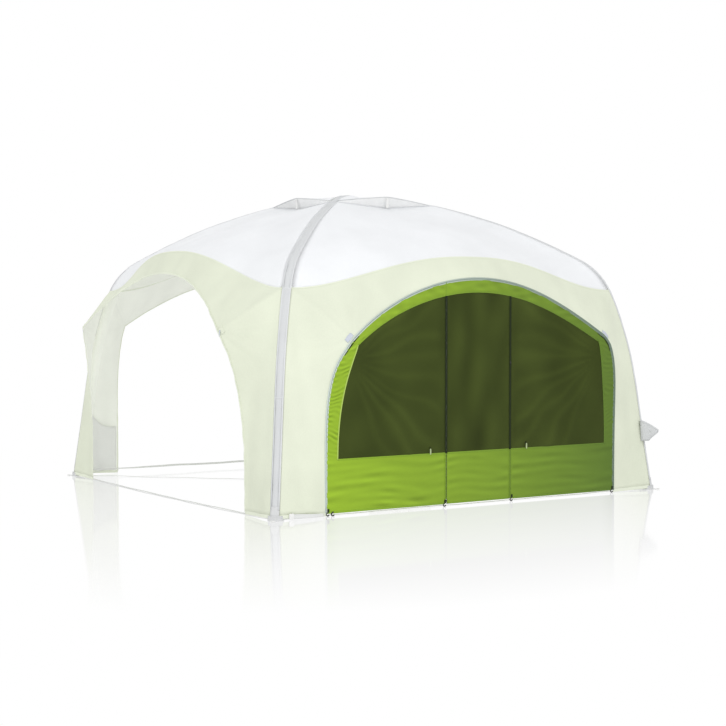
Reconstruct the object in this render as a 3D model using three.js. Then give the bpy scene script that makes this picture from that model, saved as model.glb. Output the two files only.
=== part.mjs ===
// Air-frame shelter with a zip-in mesh wall. Millimetres, +Z up, origin on the ground at the middle,
// the mesh wall faces -Y. Each side is laid out in its own terms: s along the side, d outwards, z up.
import * as THREE from 'three';

// Frame
const SIDE = 3650; // outer face of one leg to the next, at the ground
const PROFILE = [ // arch centreline, in its upright plane: [from the middle, height]
  [0, 2420], [600, 2380], [1160, 2230], [1500, 2102], [1800, 1965], [2040, 1832],
  [2185, 1650], [2305, 1320], [2384, 990], [2460, 495], [2534, 17],
];
const LAST = PROFILE.length - 1;
const SEAM_T = 6; // place on the profile where roof and wall are sewn together
const SLEEVE_R = 44;
const BLADDER_R = 38;
const SHEET = 2; // thickness of every cloth piece
const LIFT = { a: 28, b: -67 }; // arch a passes over arch b at the top
const LIFT_REACH = 450;
const ATTACH = { across: 35, out: 34 }; // from an arch's centreline to the cloth sewn to its shoulders

// Roof, vents
const VENT_T = 1.15;
const HOOD_T = [0.25, 1.14];
const HOOD_RISE = 6;
const HOOD_PEAK = 2452;
const HOOD_OVERHANG = 45;
const MESH_REACH = 0.76; // share of a vent's width that its mesh fills
const PROP_R = 14;
// Rings along an arch, at the rows of the cloth beside it
const HOOD_ROWS = 4;
const ROOF_ROWS = 9;
const LEG_ROWS = 6;

// Walls: the arched opening under each wall piece and how far its corners flare out
const HEM = 20;
const FRONT = {
  foot: 1390, spring: 1210, springZ: 1290, top: 1745, taper: 7, gap: 15, seam: { d: 1709, z: 1915 },
  flare: { out: 89, z: 1220, rise: 4, across: 3 },
};
const OPEN = {
  foot: 1395, spring: 1250, springZ: 1350, top: 1800, taper: 4.5, gap: 0, seam: { d: 1715, z: 1975 },
  flare: { out: 149, z: 1350, rise: 3, across: 1.5 },
};
const FLAT_HALF = 330; // the wall stays flat this far either side of the middle

// Mesh wall
const SKIRT_TOP = 410;
const MESH_FOOT = 1290;
const MESH_SHOULDER = { s: 1160, z: 1250 };
const MESH_TOP = 1645;
const ZIP_S = 310;
const SLIDER_Z = 36;

const HALF = SIDE / 2;
const SIDES = ['front', 'right', 'back', 'left'];
const CORNERS = ['front_left', 'front_right', 'back_right', 'back_left'];
const PAD_R = 62;
const FOOT = PROFILE[LAST][0] / Math.SQRT2;

const MATERIALS = {
  roof: new THREE.MeshStandardMaterial({ color: 0xf1f4f7, roughness: 0.7 }),
  wall: new THREE.MeshStandardMaterial({ color: 0xeff5e2, roughness: 0.75 }),
  sleeve: new THREE.MeshStandardMaterial({ color: 0xd2d6da, roughness: 0.7 }),
  bladder: new THREE.MeshStandardMaterial({ color: 0xe4e2dc, roughness: 0.4 }),
  lime: new THREE.MeshStandardMaterial({ color: 0x86b81a, roughness: 0.75 }),
  mesh: new THREE.MeshStandardMaterial({ color: 0x3c4a14, roughness: 0.9 }),
  webbing: new THREE.MeshStandardMaterial({ color: 0xe6e6e2, roughness: 0.85 }),
  zip: new THREE.MeshStandardMaterial({ color: 0x3a444c, roughness: 0.5 }),
  plastic: new THREE.MeshStandardMaterial({ color: 0x1d1f21, roughness: 0.45 }),
};

const group = new THREE.Group();
group.name = 'air_shelter';

function add(name, geometry, slot, quarter = 0) {
  geometry.rotateZ((quarter * Math.PI) / 2);
  const mesh = new THREE.Mesh(geometry, MATERIALS[slot].clone());
  mesh.name = name;
  group.add(mesh);
}

const place = (s, d, z) => new THREE.Vector3(s, -d, z);
const mix = (a, b, k) => a + (b - a) * k;
const spread = (count) => Array.from({ length: count + 1 }, (_, i) => i / count);
const smooth = (x) => x * x * (3 - 2 * x);
const clamp = (x) => Math.min(Math.max(x, 0), 1);

function profilePoint(t) {
  const i = Math.min(Math.floor(t), LAST - 1);
  const f = t - i;
  const [a, b, c] = [i > 0 ? PROFILE[i - 1] : [-PROFILE[1][0], PROFILE[1][1]], PROFILE[i], PROFILE[i + 1]];
  const d = i + 2 <= LAST ? PROFILE[i + 2] : [2 * c[0] - b[0], 2 * c[1] - b[1]];
  return [0, 1].map((k) =>
    b[k] + 0.5 * f * (c[k] - a[k] + f * (2 * a[k] - 5 * b[k] + 4 * c[k] - d[k]
      + f * (3 * (b[k] - c[k]) + d[k] - a[k]))));
}

/** Point on the arch profile and its outward direction, for t from 0 at the top to LAST at the foot. */
function profileAt(t) {
  const [r, z] = profilePoint(t);
  const [a, b] = [profilePoint(Math.max(t - 0.01, 0)), profilePoint(Math.min(t + 0.01, LAST))];
  const length = Math.hypot(b[0] - a[0], b[1] - a[1]);
  return { r, z, outR: (a[1] - b[1]) / length, outZ: (b[0] - a[0]) / length };
}

/** Where cloth meets the arch on the s > 0 end of a side. */
function archEdge(t, rise = 0) {
  const { r, z, outR, outZ } = profileAt(t);
  const out = r + ATTACH.out * outR;
  return {
    s: (out - ATTACH.across) / Math.SQRT2, d: (out + ATTACH.across) / Math.SQRT2,
    z: z + rise + ATTACH.out * outZ,
  };
}

const hoodT = (v) => mix(HOOD_T[0], HOOD_T[1], v);
const roofT = (v) => mix(VENT_T, SEAM_T, v);
const legT = (v) => mix(LAST - 0.02, SEAM_T, v);
const ARCH_T = [
  0, ...spread(HOOD_ROWS).slice(0, -1).map(hoodT), ...spread(ROOF_ROWS).map(roofT),
  ...spread(LEG_ROWS).slice(0, -1).map(legT).reverse(), LAST,
];
const liftAt = (arch, r) => LIFT[arch] * Math.exp(-((r / LIFT_REACH) ** 2));

/** Pipe along an arch, from the foot on one side to the foot on the other. */
function pipe(arch, outer, wall, count) {
  const azimuth = arch === 'a' ? Math.PI / 4 : -Math.PI / 4;
  const places = [...ARCH_T.slice(1).reverse().map((t) => [-1, t]), ...ARCH_T.map((t) => [1, t])];
  const positions = [];
  for (const radius of [outer, outer - wall]) {
    for (const [way, t] of places) {
      const { r, z, outR, outZ } = profileAt(t);
      for (const k of spread(count).slice(1)) {
        const out = radius * Math.sin(2 * Math.PI * k);
        const along = way * (r + out * outR);
        const across = radius * Math.cos(2 * Math.PI * k);
        positions.push(
          along * Math.cos(azimuth) - across * Math.sin(azimuth),
          along * Math.sin(azimuth) + across * Math.cos(azimuth),
          z + out * outZ + liftAt(arch, r),
        );
      }
    }
  }
  const geometry = new THREE.BufferGeometry();
  geometry.setAttribute('position', new THREE.Float32BufferAttribute(positions, 3));
  geometry.setIndex(pipeFaces(places.length, count));
  return geometry;
}

function pipeFaces(m, n) {
  const faces = [];
  const quad = (a, b, c, d) => faces.push(a, b, c, a, c, d);
  const low = m * n;
  const end = low - n;
  for (let j = 0; j < n; j++) {
    const k = (j + 1) % n;
    for (let i = 0; i < end; i += n) {
      quad(i + j, i + k, i + n + k, i + n + j);
      quad(low + i + k, low + i + j, low + i + n + j, low + i + n + k);
    }
    quad(k, j, low + j, low + k);
    quad(end + j, end + k, low + end + k, low + end + j);
  }
  return faces;
}

/** Closed sheet of even thickness through rows of points. */
function sheet(rows, thickness = SHEET) {
  const [m, n] = [rows.length, rows[0].length];
  const at = (i, j) => rows[Math.min(Math.max(i, 0), m - 1)][Math.min(Math.max(j, 0), n - 1)];
  const positions = [];
  for (const side of [0.5, -0.5]) {
    for (let i = 0; i < m; i++) {
      for (let j = 0; j < n; j++) {
        const normal = at(i + 1, j).clone().sub(at(i - 1, j))
          .cross(at(i, j + 1).clone().sub(at(i, j - 1))).normalize();
        positions.push(...rows[i][j].clone().addScaledVector(normal, side * thickness));
      }
    }
  }
  const geometry = new THREE.BufferGeometry();
  geometry.setAttribute('position', new THREE.Float32BufferAttribute(positions, 3));
  geometry.setIndex(sheetFaces(m, n));
  return geometry;
}

function sheetFaces(m, n) {
  const faces = [];
  const quad = (a, b, c, d) => faces.push(a, b, c, a, c, d);
  const low = m * n;
  for (let i = 0; i < m - 1; i++) {
    for (let j = 0; j < n - 1; j++) {
      const a = i * n + j;
      quad(a, a + n, a + n + 1, a + 1);
      quad(low + a, low + a + 1, low + a + n + 1, low + a + n);
    }
  }
  const rim = [];
  for (let i = 0; i < m; i++) rim.push(i * n);
  for (let j = 1; j < n; j++) rim.push((m - 1) * n + j);
  for (let i = m - 2; i >= 0; i--) rim.push(i * n + n - 1);
  for (let j = n - 2; j > 0; j--) rim.push(j);
  rim.forEach((p, k) => {
    const q = rim[(k + 1) % rim.length];
    quad(q, p, low + p, low + q);
  });
  return faces;
}

/** How far the wall stands out of its upright plane: most at the two corners of the arched opening. */
function bulge(side, s, z) {
  const { out, z: full, rise, across } = side.flare;
  const share = clamp((Math.abs(s) - FLAT_HALF) / (side.spring - FLAT_HALF)) ** across;
  return out * share * clamp(z / full) ** rise;
}

/** Edge of the arched opening for k from 0 at the ground to 1 at the top, on the s > 0 half. */
function openingAt(side, k) {
  if (k < 0.5) {
    const z = mix(HEM, side.springZ, k / 0.5);
    return [side.foot - (side.foot - side.spring) * (z / side.springZ) ** side.taper, z];
  }
  const s = side.spring * (1 - (k - 0.5) / 0.5);
  return [s, side.top - (side.top - side.springZ) * (s / side.spring) ** 2];
}

/** The same edge moved away from the opening by off. */
function openingOffset(side, k, off) {
  const [a, b] = [openingAt(side, Math.max(k - 0.01, 0)), openingAt(side, Math.min(k + 0.01, 1))];
  const [ds, dz] = [b[0] - a[0], b[1] - a[1]];
  const length = Math.hypot(ds, dz);
  const [s, z] = openingAt(side, k);
  return [k < 1 ? s + (off * dz) / length : s, k > 0 ? z - (off * ds) / length : z];
}

const onWall = (side, [s, z]) => place(s, HALF + bulge(side, s, z), z);

/** Height of a curve that rises smoothly from 0 at an arch to 1 in the middle of a side. */
const swell = (u) => (1 + Math.cos(Math.PI * Math.abs(u) ** 1.2)) / 2;
const peak = (u) => 1 - Math.abs(u) ** 1.2;

/** Seam between roof and wall: u runs from 0 at the middle of a side to 1 at the arch. */
function seamAt(side, u) {
  const end = archEdge(SEAM_T);
  return [u * end.s, mix(end.d, side.seam.d, swell(u)), mix(end.z, side.seam.z, swell(u))];
}

/** Height of the roof's middle line, d out from the top of the shelter. */
function roofLine(side, d) {
  const top = PROFILE[0][1];
  const steep = 0.12 + (top - side.seam.z - 0.12 * side.seam.d) / (side.seam.d - 500)
    * ((d - 500) / side.seam.d);
  return top - steep * d;
}

function roofPanel(side) {
  const inner = archEdge(VENT_T);
  const outer = archEdge(SEAM_T);
  return spread(ROOF_ROWS).map((v) => {
    const end = archEdge(roofT(v));
    const middle = end.d + ((end.d - inner.d) / (outer.d - inner.d)) ** 2 * (side.seam.d - outer.d);
    return spread(12).map((j) => {
      const u = 2 * j - 1;
      const rise = mix(peak(u), swell(u), v);
      return place(u * end.s, mix(end.d, middle, rise), mix(end.z, roofLine(side, middle), rise));
    });
  });
}

/** Hood over a vent, sewn to one arch on the left and the other on the right. */
function ventHood(left, right) {
  const high = HOOD_PEAK - archEdge(HOOD_T[1], HOOD_RISE).z;
  return spread(HOOD_ROWS).map((v) => {
    const end = archEdge(hoodT(v), HOOD_RISE);
    const { r } = profileAt(hoodT(v));
    return spread(8).map((j) => {
      const u = 2 * j - 1;
      const lift = mix(liftAt(left, r), liftAt(right, r), j);
      return place(u * end.s, end.d + HOOD_OVERHANG * v * peak(u), end.z + lift + high * v ** 2 * peak(u));
    });
  });
}

/** Upright strip of mesh between the roof's inner edge and the hood. */
function ventMesh(side) {
  const low = archEdge(VENT_T);
  const high = archEdge(HOOD_T[1], HOOD_RISE);
  return [0, 1].map((v) => spread(8).map((j) => {
    const u = (2 * j - 1) * MESH_REACH;
    const bottom = mix(low.z, roofLine(side, low.d), peak(u)) + 5;
    const top = mix(high.z, HOOD_PEAK, peak(u)) - 14;
    const out = high.d + HOOD_OVERHANG * peak(u) - 8;
    return place(u * low.s, mix(low.d + 6, out, v), mix(bottom, top, v));
  }));
}

function wallPanel(side, hand) {
  const rows = spread(2 * LEG_ROWS).map((k) => {
    const inner = onWall(side, openingOffset(side, k, side.gap));
    const edge = archEdge(legT(Math.min(2 * k, 1)));
    const [s, d, z] = k < 0.5 ? [edge.s, edge.d, Math.max(edge.z, HEM)] : seamAt(side, 2 - 2 * k);
    const outer = place(s, d, z - 4);
    return spread(3).map((w) => inner.clone().lerp(outer, w));
  });
  for (const row of rows) {
    for (const p of row) p.x = Math.max(p.x, 1) * hand;
  }
  return hand > 0 ? rows.map((row) => row.reverse()) : rows;
}

/** Flat pattern in the wall's plane, bent out to follow it. */
function plate(outline, side = FRONT, thickness = SHEET, stand = 0) {
  const shape = new THREE.Shape(outline.map(([s, z]) => new THREE.Vector2(s, z)));
  const geometry = new THREE.ExtrudeGeometry(shape, { depth: thickness, bevelEnabled: false });
  const p = geometry.attributes.position;
  for (let i = 0; i < p.count; i++) {
    const [s, z, out] = [p.getX(i), p.getY(i), p.getZ(i) - thickness / 2 + stand];
    p.setXYZ(i, s, -(HALF + bulge(side, s, z) + out), z);
  }
  return geometry;
}

/** Adds points along straight edges so that they can bend. */
function refine(outline, step = 160) {
  return outline.flatMap((a, i) => {
    const b = outline[(i + 1) % outline.length];
    const count = Math.max(1, Math.round(Math.hypot(b[0] - a[0], b[1] - a[1]) / step));
    return spread(count).slice(0, -1).map((k) => [mix(a[0], b[0], k), mix(a[1], b[1], k)]);
  });
}

const meshTop = (s) => MESH_TOP - (MESH_TOP - MESH_SHOULDER.z) * (s / MESH_SHOULDER.s) ** 2;

/** Side edge of the mesh, from its foot for k = 0 to its shoulder for k = 1. */
const meshSide = (k) => [
  mix(MESH_FOOT, MESH_SHOULDER.s, k ** 2.2), mix(SKIRT_TOP, MESH_SHOULDER.z, k),
];

function wallFrame() {
  const outer = spread(28).map((k) => {
    const [s, z] = openingOffset(FRONT, 1 - Math.abs(2 * k - 1), -FRONT.gap);
    return [k < 0.5 ? -s : s, z];
  });
  const inner = spread(20).map((k) => {
    const s = mix(MESH_SHOULDER.s, -MESH_SHOULDER.s, k);
    return [s, meshTop(s)];
  });
  const rising = spread(5).slice(0, -1).map(meshSide);
  const falling = rising.map(([s, z]) => [-s, z]).reverse();
  const gap = ZIP_S + 10;
  return refine([
    ...outer,
    [gap, HEM], [gap, SKIRT_TOP],
    ...rising, ...inner, ...falling,
    [-gap, SKIRT_TOP], [-gap, HEM],
  ]);
}

function sideMesh(hand) {
  const near = ZIP_S + 10;
  const top = spread(7).map((k) => {
    const s = mix(MESH_SHOULDER.s - 3, near, k);
    return [s * hand, meshTop(s) - 3];
  });
  const edge = spread(5).slice(0, -1).map((k) => {
    const [s, z] = meshSide(k);
    return [(s - 3) * hand, z + 2];
  });
  return refine([[near * hand, SKIRT_TOP + 2], ...edge, ...top]);
}

function doorMesh() {
  const edge = ZIP_S - 8;
  const top = spread(4).map((k) => {
    const s = mix(edge - 2, -edge, k);
    return [s, meshTop(s) - 3];
  });
  return refine([[-edge, SKIRT_TOP + 2], [edge - 2, SKIRT_TOP + 2], ...top]);
}

const bar = (s, half, low, high, thickness) =>
  plate([[s - half, low], [s + half, low], [s + half, high], [s - half, high]], FRONT, thickness);

function archZip() {
  return spread(32).map((k) => {
    const along = 1 - Math.abs(2 * k - 1);
    return [-5, 5].map((off) => {
      const [s, z] = openingOffset(FRONT, along, off);
      return onWall(FRONT, [k < 0.5 ? -s : s, z]);
    });
  });
}

/** Slider body with its pull hanging below. */
function slider(stand) {
  const outline = [
    [-6, -16], [-3, -18], [-3, -32], [3, -32], [3, -18], [6, -16], [6, 0], [-6, 0],
  ];
  const shape = new THREE.Shape(outline.map(([x, y]) => new THREE.Vector2(x, y)));
  const geometry = new THREE.ExtrudeGeometry(shape, { depth: 5, bevelEnabled: false });
  geometry.rotateX(Math.PI / 2);
  geometry.translate(0, -stand, 0);
  return geometry;
}

function lathe(points, segments = 12) {
  return new THREE.LatheGeometry(points.map(([x, y]) => new THREE.Vector2(x, y)), segments);
}

/** Upright strip that holds a hood's edge up; its round lower end turns about its own centre. */
function ventProp(side) {
  const out = archEdge(VENT_T).d + 36;
  const low = roofLine(side, out) + 3;
  const high = HOOD_PEAK - 8 - low;
  const round = spread(6).map((k) => [
    -PROP_R * Math.cos(Math.PI * k), PROP_R - PROP_R * Math.sin(Math.PI * k),
  ]);
  const outline = [...round, [PROP_R - 2, high], [2 - PROP_R, high]];
  const shape = new THREE.Shape(outline.map(([x, y]) => new THREE.Vector2(x, y)));
  const geometry = new THREE.ExtrudeGeometry(shape, { depth: 4, bevelEnabled: false });
  geometry.rotateX(Math.PI / 2);
  geometry.translate(0, -out, low);
  return geometry;
}

/** Ground pad under a leg, with a slotted tongue for a peg. */
function footPad() {
  const pad = spread(12).slice(0, -1).map((k) => {
    const angle = 2 * Math.PI * k + Math.PI / 12;
    return [PAD_R * Math.cos(angle), PAD_R * Math.sin(angle)];
  });
  const tongue = [[PAD_R + 52, -16], [PAD_R + 52, 16]];
  const shape = new THREE.Shape([...tongue, ...pad].map(([x, y]) => new THREE.Vector2(x, y)));
  const slot = [[PAD_R + 22, -9], [PAD_R + 22, 9], [PAD_R + 42, 9], [PAD_R + 42, -9]];
  shape.holes.push(new THREE.Path(slot.map(([x, y]) => new THREE.Vector2(x, y))));
  const geometry = new THREE.ExtrudeGeometry(shape, { depth: 6, bevelEnabled: false });
  geometry.rotateZ((-3 * Math.PI) / 4);
  geometry.translate(-FOOT, -FOOT, 0);
  return geometry;
}

function strap(length, across) {
  const geometry = new THREE.BoxGeometry(length, 25, 1.6);
  geometry.translate(0, -across, 1.6);
  return geometry;
}

function hemHook() {
  const corners = (list) => list.map(([x, y]) => new THREE.Vector2(x, y));
  const shape = new THREE.Shape(corners([[-8, 0], [8, 0], [8, 13], [-8, 13]]));
  shape.holes.push(new THREE.Path(corners([[-4, 3], [-4, 8], [4, 8], [4, 3]])));
  const geometry = new THREE.ExtrudeGeometry(shape, { depth: 4, bevelEnabled: false });
  geometry.rotateX(Math.PI / 2);
  geometry.translate(0, 2, 4.5);
  return geometry;
}

/** Valve parts, along +X; they turn to face out of their leg. */
const VALVE = { out: 2515, z: 470 };
const alongX = (geometry) => geometry.rotateZ(-Math.PI / 2).translate(VALVE.out, 0, VALVE.z);

function valveHood() {
  const section = [[0, 86], [54, 60], [114, 24], [76, -18], [36, -58]];
  return section.map(([x, z]) => [64, 0, -64].map((y) => new THREE.Vector3(VALVE.out + x, y, VALVE.z + z)));
}

function addFrame() {
  for (const arch of ['a', 'b']) {
    add(`bladder_${arch}`, pipe(arch, BLADDER_R, 3, 12), 'bladder');
    add(`sleeve_${arch}`, pipe(arch, SLEEVE_R, 2, 12), 'sleeve');
  }
  CORNERS.forEach((corner, quarter) => add(`foot_pad_${corner}`, footPad(), 'webbing', quarter));
  const reach = 2 * (FOOT - PAD_R - 4);
  SIDES.forEach((side, quarter) => add(`ground_strap_${side}`, strap(reach, FOOT), 'webbing', quarter));
  const cross = strap(2 * (FOOT * Math.SQRT2 - PAD_R - 4), 0);
  cross.rotateZ(-Math.PI / 4);
  add('ground_strap_cross', cross, 'webbing');
}

function addCanopy() {
  SIDES.forEach((name, quarter) => {
    const side = quarter === 0 ? FRONT : OPEN;
    const [left, right] = quarter % 2 === 0 ? ['a', 'b'] : ['b', 'a'];
    add(`roof_${name}`, sheet(roofPanel(side)), 'roof', quarter);
    add(`wall_${name}_left`, sheet(wallPanel(side, -1)), 'wall', quarter);
    add(`wall_${name}_right`, sheet(wallPanel(side, 1)), 'wall', quarter);
    add(`vent_hood_${name}`, sheet(ventHood(left, right)), 'roof', quarter);
    add(`vent_mesh_${name}`, sheet(ventMesh(side)), 'mesh', quarter);
    add(`vent_prop_${name}`, ventProp(side), 'plastic', quarter);
  });
}

function addMeshWall() {
  add('wall_frame', plate(wallFrame()), 'lime');
  add('mesh_left', plate(sideMesh(-1)), 'mesh');
  add('mesh_right', plate(sideMesh(1)), 'mesh');
  add('door_mesh', plate(doorMesh()), 'mesh');
  const edge = ZIP_S - 8;
  const skirt = [[-edge, HEM], [edge - 2, HEM], [edge - 2, SKIRT_TOP], [-edge, SKIRT_TOP]];
  add('door_skirt', plate(skirt), 'lime');
}

function addZips() {
  const top = meshTop(ZIP_S) - 6;
  add('arch_zip', sheet(archZip(), 4), 'zip');
  add('zip_left_fixed', bar(-ZIP_S - 3.5, 2.5, HEM + 5, top, 4), 'zip');
  add('zip_left_door', bar(-ZIP_S + 3.5, 2.5, SLIDER_Z + 20, top, 4), 'zip');
  add('zip_right', bar(ZIP_S, 4, HEM + 5, top, 4), 'zip');
  add('door_slider', slider(HALF + 3).translate(-ZIP_S, 0, SLIDER_Z + 17), 'plastic');
  const [s, z] = openingAt(FRONT, 0.016);
  add('arch_slider', slider(HALF + 7).translate(-s, 0, z), 'plastic');
}

function addFittings() {
  const barrel = [[0, 0], [4, 0], [6, -8], [5, -22], [6, -36], [4, -44], [0, -44]].reverse();
  for (const [name, hand] of [['left', -1], ['right', 1]]) {
    const toggle = lathe(barrel, 10).rotateX(Math.PI / 2);
    add(`toggle_${name}`, toggle.translate(465 * hand, -HALF - 14, 452), 'plastic');
  }
  [-FRONT.foot + 16, -ZIP_S - 14, ZIP_S + 14, FRONT.foot - 16].forEach((s, i) => {
    add(`hem_hook_${i + 1}`, hemHook().translate(s, -HALF, 0), 'plastic');
  });
  const boss = [[0, 0], [20, 0], [20, 3], [15, 5], [15, 9], [0, 9]];
  const cap = [[0, 10], [16, 10], [17, 13], [17, 19], [14, 22], [0, 22]];
  for (const [arch, quarter] of [['b', -0.5], ['a', 0.5]]) {
    add(`valve_boss_${arch}`, alongX(lathe(boss, 14)), 'plastic', quarter);
    add(`valve_cap_${arch}`, alongX(lathe(cap, 14)), 'plastic', quarter);
    add(`valve_hood_${arch}`, sheet(valveHood()), 'sleeve', quarter);
  }
}

addFrame();
addCanopy();
addMeshWall();
addZips();
addFittings();

export default group;
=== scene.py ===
"""Looks for the air-frame shelter with a mesh wall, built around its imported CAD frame. Metres, +Z up.

Each side of the shelter is laid out in its own terms: s along the side, d outwards from the middle, z up.
Side 0 is the front (-Y), and each further one is a quarter turn on.
"""
import math

import bmesh
import bpy
import numpy as np
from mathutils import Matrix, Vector
from mathutils.geometry import delaunay_2d_cdt


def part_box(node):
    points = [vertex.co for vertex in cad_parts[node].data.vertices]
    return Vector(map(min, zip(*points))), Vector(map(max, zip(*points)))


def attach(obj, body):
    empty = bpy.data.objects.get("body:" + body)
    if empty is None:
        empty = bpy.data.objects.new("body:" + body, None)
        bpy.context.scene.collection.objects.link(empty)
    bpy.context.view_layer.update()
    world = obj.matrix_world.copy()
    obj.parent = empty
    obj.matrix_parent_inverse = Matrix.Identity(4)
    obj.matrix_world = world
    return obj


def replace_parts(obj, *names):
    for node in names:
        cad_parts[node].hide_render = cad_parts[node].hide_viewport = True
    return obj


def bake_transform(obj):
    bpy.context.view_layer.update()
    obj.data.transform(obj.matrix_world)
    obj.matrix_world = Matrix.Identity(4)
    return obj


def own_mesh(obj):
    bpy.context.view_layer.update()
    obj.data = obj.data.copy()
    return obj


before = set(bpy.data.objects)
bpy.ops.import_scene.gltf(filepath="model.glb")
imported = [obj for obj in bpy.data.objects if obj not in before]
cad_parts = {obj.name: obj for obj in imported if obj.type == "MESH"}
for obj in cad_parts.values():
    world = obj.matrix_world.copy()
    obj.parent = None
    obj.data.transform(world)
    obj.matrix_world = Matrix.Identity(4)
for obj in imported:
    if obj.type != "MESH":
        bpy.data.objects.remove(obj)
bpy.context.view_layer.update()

SIDES = ("front", "right", "back", "left")
CORNERS = ("front_left", "front_right", "back_right", "back_left")
HANDS = (("left", -1), ("right", 1))
UP = np.array([0, 0, 1.0])
AHEAD = np.array([0, -1.0, 0])
ROOT = "shelter"

# An arch's centreline, as (distance from the middle, height). A place on it is t, which counts these points.
PROFILE = np.array([
    (0, 2.42), (0.6, 2.38), (1.16, 2.23), (1.5, 2.102), (1.8, 1.965), (2.04, 1.832),
    (2.185, 1.65), (2.305, 1.32), (2.384, 0.99), (2.46, 0.495), (2.534, 0.017),
])
LAST = len(PROFILE) - 1
SEAM_T = 6.0
LEG_T = LAST - 0.02
VENT_T = 1.15
HOOD_T = (0.25, 1.14)
CROWN_T = 0.045
ROOF_ROWS = 56
SLEEVE_R = 0.044
SLEEVES = ["arch_sleeve_a", "arch_sleeve_b"]
AZIMUTH = {"a": math.pi / 4, "b": -math.pi / 4}

# Where cloth meets an arch, beside and outside its centreline, and how far the arches part where they cross.
ACROSS, OUT = 0.035, 0.034
LIFT = {"a": 0.028, "b": -0.067}
REACH = 0.45
HOOD_RISE = 0.006
HOOD_PEAK = 2.452
OVERHANG = 0.045

# The walls: half their spacing, their foot, and the half width at the middle that stays flat.
HALF = 1.825
HEM = 0.02
FLAT_HALF = 0.33
FRONT = dict(foot=1.39, spring=1.21, spring_z=1.29, top=1.745, taper=7, seam=(1.709, 1.915),
             flare=(0.089, 1.22, 4, 3))
OPEN = dict(foot=1.395, spring=1.25, spring_z=1.35, top=1.8, taper=4.5, seam=(1.715, 1.975),
            flare=(0.149, 1.35, 3, 1.5))
CLOTH = 0.0012

# The mesh wall.
NET = 0.0008
SKIRT_TOP = 0.41
MESH_FOOT = 1.29
SHOULDER = (1.16, 1.25)
MESH_TOP = 1.645
ZIP_S = 0.31
ZIP_GAP = 0.008

# Fittings: the feet's distance along x and y, how each strap bows inwards and lifts, and the valves' place.
FOOT = PROFILE[-1][0] / math.sqrt(2)
STRAP_LIES = {"front": (0.012, 0.0), "right": (0.012, 0.0), "back": (0.0, 0.042), "left": (-0.045, 0.0)}
WEBBING = 0.025
VALVE_OUT, VALVE_Z = 2.515, 0.47

# The studio: where the camera stands, and the square around the shelter where the reflection is full.
SEEN_FROM = (-7.429, -11.624, 1.528)
FLOOR_EDGE = 1.8


# ---------------------------------------------------------------- camera, light and floor
def add_camera():
    data = bpy.data.cameras.new("camera")
    data.lens = 78.57
    data.sensor_width = 36
    cam = bpy.data.objects.new("camera", data)
    cam.location = SEEN_FROM
    yaw, pitch = math.radians(32.99), math.radians(-2.027)
    look = Vector((math.sin(yaw) * math.cos(pitch), math.cos(yaw) * math.cos(pitch), math.sin(pitch)))
    cam.rotation_euler = look.to_track_quat("-Z", "Y").to_euler()
    bpy.context.scene.collection.objects.link(cam)
    bpy.context.scene.camera = cam


def add_key_light(spot, aim):
    data = bpy.data.lights.new("key", "AREA")
    data.size = 2.5
    data.energy = 60
    lamp = bpy.data.objects.new("key", data)
    lamp.location = spot
    lamp.rotation_euler = (Vector(aim) - Vector(spot)).to_track_quat("-Z", "Y").to_euler()
    bpy.context.scene.collection.objects.link(lamp)


def add_stage():
    world = bpy.data.worlds.new("studio")
    world.use_nodes = True
    background = world.node_tree.nodes["Background"]
    background.inputs["Color"].default_value = (1, 1, 1, 1)
    background.inputs["Strength"].default_value = 1.0
    bpy.context.scene.world = world
    bpy.context.scene.view_settings.view_transform = "Standard"
    add_key_light((-3.6, -6.5, 3.0), (-1.2, -1.8, 0.9))
    bpy.ops.mesh.primitive_plane_add(size=400, location=(0, 0, -0.0005))
    plane = bpy.context.object
    plane.name = "floor"
    plane.data.materials.append(floor_material())


def floor_material():
    """Glowing white studio floor. Its reflection fades away from the shelter, and is stronger before the legs
    than before the mesh wall, as the photo's camera sees it."""
    m = bpy.data.materials.new("floor")
    m.use_nodes = True
    n = Nodes(m)
    ground = n.split(n.add("TexCoord").outputs["Object"])[:2]
    away = [n.math("MAXIMUM", n.minus(n.math("ABSOLUTE", v), FLOOR_EDGE), 0.0) for v in ground]
    distance = n.math("SQRT", n.plus(*(n.times(v, v) for v in away)))
    near = n.clamped(n.minus(1.0, n.times(distance, 0.29)))
    aside = n.times(n.minus(ground[0], SEEN_FROM[0]), -HALF - SEEN_FROM[1])
    sight = n.math("DIVIDE", aside, n.minus(ground[1], SEEN_FROM[1]))
    across = n.math("ABSOLUTE", n.plus(sight, SEEN_FROM[0]))
    beside_skirt = n.clamped(n.times(n.minus(across, 1.26), 1.8))
    before = [n.math("MAXIMUM", n.minus(-FLOOR_EDGE, v), 0.0) for v in ground]
    outside = n.clamped(n.times(n.plus(*before), 60.0))
    share = n.times(near, n.plus(n.times(n.times(beside_skirt, outside), 0.3), 0.27))
    glow, mirror, blend = n.add("Emission"), n.add("BsdfGlossy"), n.add("MixShader")
    glow.inputs["Color"].default_value = (1, 1, 1, 1)
    mirror.inputs["Color"].default_value = (1, 1, 1, 1)
    mirror.inputs["Roughness"].default_value = 0.07
    n.link(share, blend.inputs["Fac"])
    n.link(glow.outputs[0], blend.inputs[1])
    n.link(mirror.outputs[0], blend.inputs[2])
    n.link(blend.outputs[0], m.node_tree.nodes["Material Output"].inputs["Surface"])
    return m


# ---------------------------------------------------------------- materials
def material(name, color, roughness=0.6, metallic=0.0, specular=0.5):
    m = bpy.data.materials.new(name)
    m.use_nodes = True
    shader = m.node_tree.nodes["Principled BSDF"]
    shader.inputs["Base Color"].default_value = (*color, 1)
    shader.inputs["Roughness"].default_value = roughness
    shader.inputs["Metallic"].default_value = metallic
    shader.inputs["Specular IOR Level"].default_value = specular
    return m


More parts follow.
